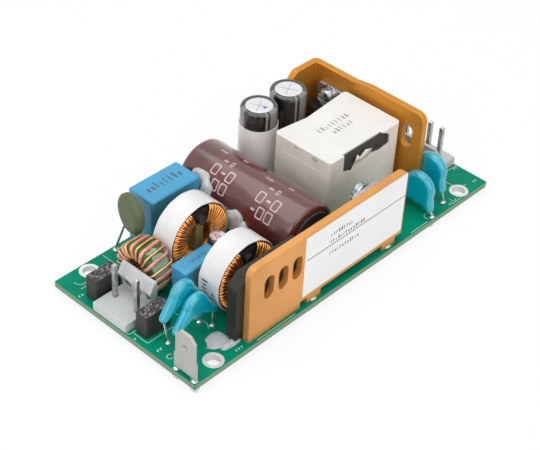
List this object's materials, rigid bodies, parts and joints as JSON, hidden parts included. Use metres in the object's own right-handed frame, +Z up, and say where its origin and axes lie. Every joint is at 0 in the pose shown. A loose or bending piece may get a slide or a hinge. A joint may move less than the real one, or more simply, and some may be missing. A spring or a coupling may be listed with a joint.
{
  "type": "open frame power supply",
  "caption": "Open frame power supply on a long circuit board, with pin headers at both ends, gold heatsinks, wound chokes, a transformer and capacitors.",
  "frame": {"origin": "under the middle of the circuit board, at the height of the trimmed leads that the supply rests on", "axes": "+X along the board from the mains input end to the output end, +Y across the board from the front heatsink to the back edge, +Z up"},
  "size_m": [0.1142, 0.0508, 0.0297],
  "materials": {
    "white_tape": "polyester tape",
    "black_case": "moulded",
    "divider_card": "fibre card",
    "copper_wire": "enamelled copper",
    "black_epoxy": "moulded epoxy",
    "black_rubber": "bung",
    "can_aluminium": "drawn aluminium",
    "tinned_wire": "tinned copper wire",
    "maroon_sleeve": "shrink sleeve",
    "board": "green solder mask",
    "tab_brass": "tinned brass",
    "gold_anodised": "gold anodised",
    "label_paper": "bare label",
    "zinc_steel": "zinc plated",
    "header_plastic": "natural nylon",
    "tinned_pins": "tin plate",
    "blue_coating": "dipped coating",
    "blue_case": "moulded",
    "fuse_case": "black moulded",
    "black_sleeve": "shrink sleeve",
    "core_coating": "epoxy coating",
    "red_wire": "enamelled copper",
    "gold_wire": "enamelled copper",
    "solder": "bright solder",
    "olive_coating": "dipped coating",
    "bobbin_plastic": "moulded phenolic",
    "ferrite": "sintered ferrite"
  },
  "bodies": {
    "root": {"back_choke_band": "white_tape", "back_choke_case": "black_case", "back_choke_divider": "divider_card", "back_choke_winding_left": "copper_wire", "back_choke_winding_right": "copper_wire", "bridge_rectifier": "black_epoxy", "bulk_capacitor_bung": "black_rubber", "bulk_capacitor_can": "can_aluminium", "bulk_capacitor_legs": "tinned_wire", "bulk_capacitor_sleeve": "maroon_sleeve", "circuit_board": "board", "earth_tab": "tab_brass", "front_choke_band": "white_tape", "front_choke_case": "black_case", "front_choke_divider": "divider_card", "front_choke_winding_left": "copper_wire", "front_choke_winding_right": "copper_wire", "front_heatsink": "gold_anodised", "front_label": "label_paper", "heatsink_screws": "zinc_steel", "input_connector_housing": "header_plastic", "input_connector_pins": "tinned_pins", "input_disc_capacitor_back": "blue_coating", "input_disc_capacitor_front": "blue_coating", "large_box_capacitor": "blue_case", "line_fuse": "fuse_case", "neutral_fuse": "fuse_case", "output_capacitor_first_can": "can_aluminium", "output_capacitor_first_sleeve": "black_sleeve", "output_capacitor_first_tape": "white_tape", "output_capacitor_second_can": "can_aluminium", "output_capacitor_second_sleeve": "black_sleeve", "output_capacitor_second_tape": "white_tape", "output_connector_housing": "header_plastic", "output_connector_pins": "tinned_pins", "output_disc_capacitor_back": "blue_coating", "output_disc_capacitor_front": "blue_coating", "output_rectifier": "black_epoxy", "power_transistor": "black_epoxy", "rear_heatsink": "gold_anodised", "small_box_capacitor": "blue_case", "small_capacitor_can": "can_aluminium", "small_capacitor_sleeve": "black_sleeve", "small_choke_core": "core_coating", "small_choke_winding_a": "red_wire", "small_choke_winding_b": "gold_wire", "solder_joints": "solder", "thermistor": "olive_coating", "transformer_bobbin": "bobbin_plastic", "transformer_core": "ferrite", "transformer_pin_rails": "bobbin_plastic", "transformer_pins": "tinned_pins", "transformer_tape": "white_tape", "transformer_winding": "copper_wire"}
  },
  "joints": []
}
